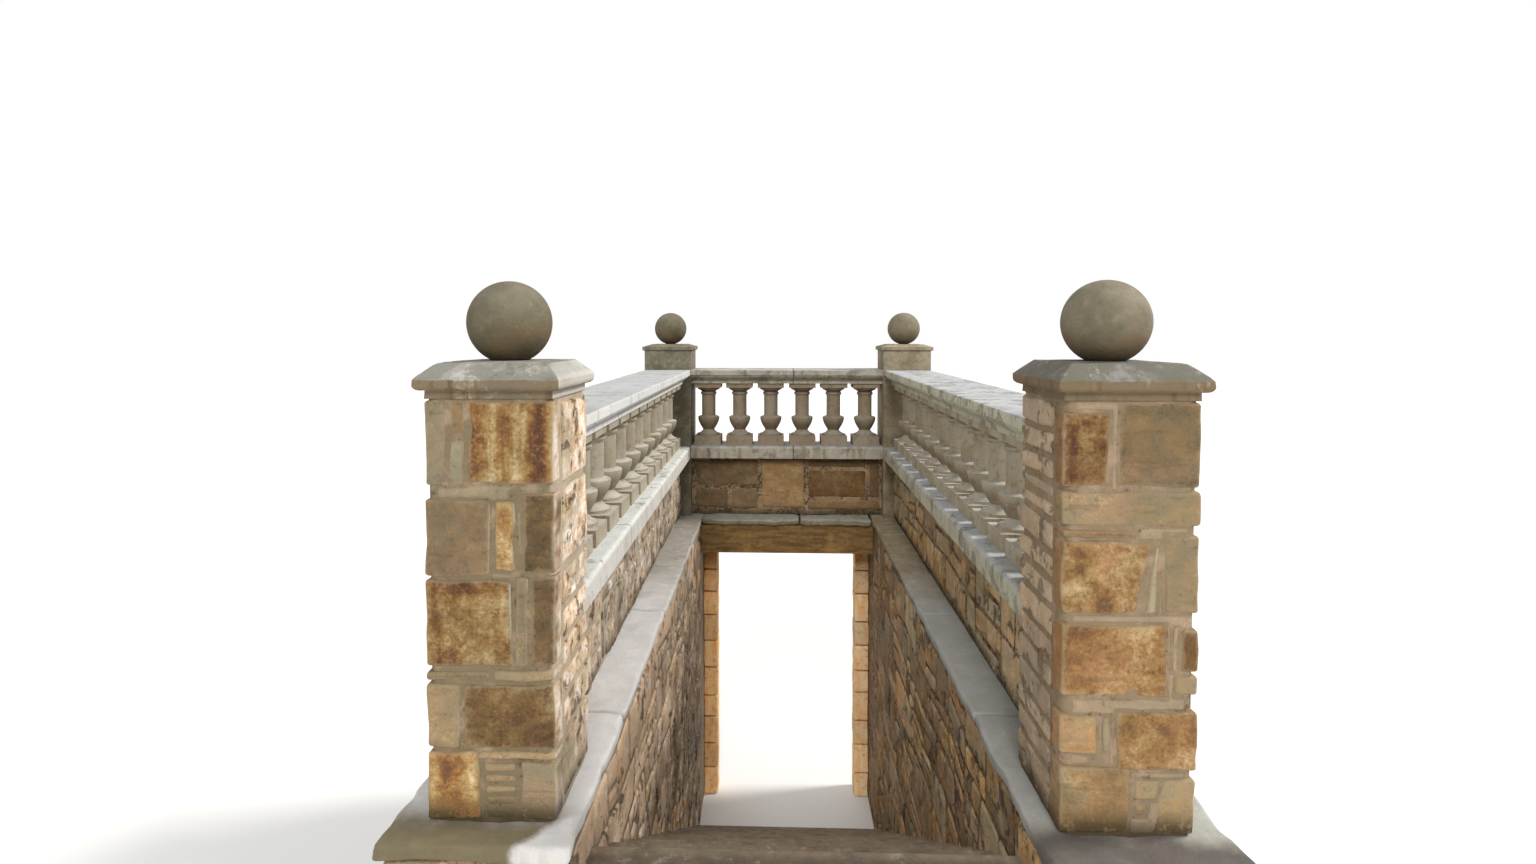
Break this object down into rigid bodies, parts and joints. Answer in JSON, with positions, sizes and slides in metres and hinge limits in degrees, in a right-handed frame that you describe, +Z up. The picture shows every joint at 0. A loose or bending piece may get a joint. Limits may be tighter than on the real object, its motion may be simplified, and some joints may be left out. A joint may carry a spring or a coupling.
{
  "type": "stone balustrade round a sunken stair",
  "caption": "Stone balustrade on three sides of a stair down to a doorway, with vase balusters, square piers and ball finials.",
  "frame": {"origin": "middle of the footprint, on the floor at the foot of the stair", "axes": "+X across the opening to the right as one looks down the stair, +Y from the front piers towards the rear run, +Z up"},
  "size_m": [2.36, 4.242, 3.847],
  "materials": {
    "coursed_sandstone": "matte",
    "rubble_masonry": "matte",
    "weathered_slab": "matte",
    "baluster_stone": "matte",
    "grey_stone": "matte",
    "lintel_stone": "matte",
    "jamb_stone": "matte",
    "step_stone": "matte"
  },
  "bodies": {
    "root": {"side_wall_left": "rubble_masonry", "side_wall_right": "rubble_masonry", "door_jamb_left": "jamb_stone", "door_jamb_right": "jamb_stone", "lintel": "lintel_stone", "stair_core": "rubble_masonry", "step_01": "step_stone", "step_02": "step_stone", "step_03": "step_stone", "step_04": "step_stone", "step_05": "step_stone", "step_06": "step_stone", "step_07": "step_stone", "step_08": "step_stone", "step_09": "step_stone", "step_10": "step_stone", "step_11": "step_stone", "step_12": "step_stone", "ledge_left": "weathered_slab", "ledge_right": "weathered_slab", "ledge_rear": "weathered_slab", "dwarf_wall_left": "rubble_masonry", "dwarf_wall_right": "rubble_masonry", "dwarf_wall_rear": "rubble_masonry", "bottom_rail_left": "weathered_slab", "bottom_rail_right": "weathered_slab", "bottom_rail_rear": "weathered_slab", "balusters_left": "baluster_stone", "balusters_right": "baluster_stone", "balusters_rear": "baluster_stone", "top_rail_left": "weathered_slab", "top_rail_right": "weathered_slab", "top_rail_rear": "weathered_slab", "front_pier_left": "coursed_sandstone", "front_pier_right": "coursed_sandstone", "rear_pier_left": "grey_stone", "rear_pier_right": "grey_stone", "front_cap_left": "weathered_slab", "front_cap_right": "weathered_slab", "rear_cap_left": "grey_stone", "rear_cap_right": "grey_stone", "front_ball_left": "grey_stone", "front_ball_right": "grey_stone", "rear_ball_left": "grey_stone", "rear_ball_right": "grey_stone"}
  },
  "joints": []
}
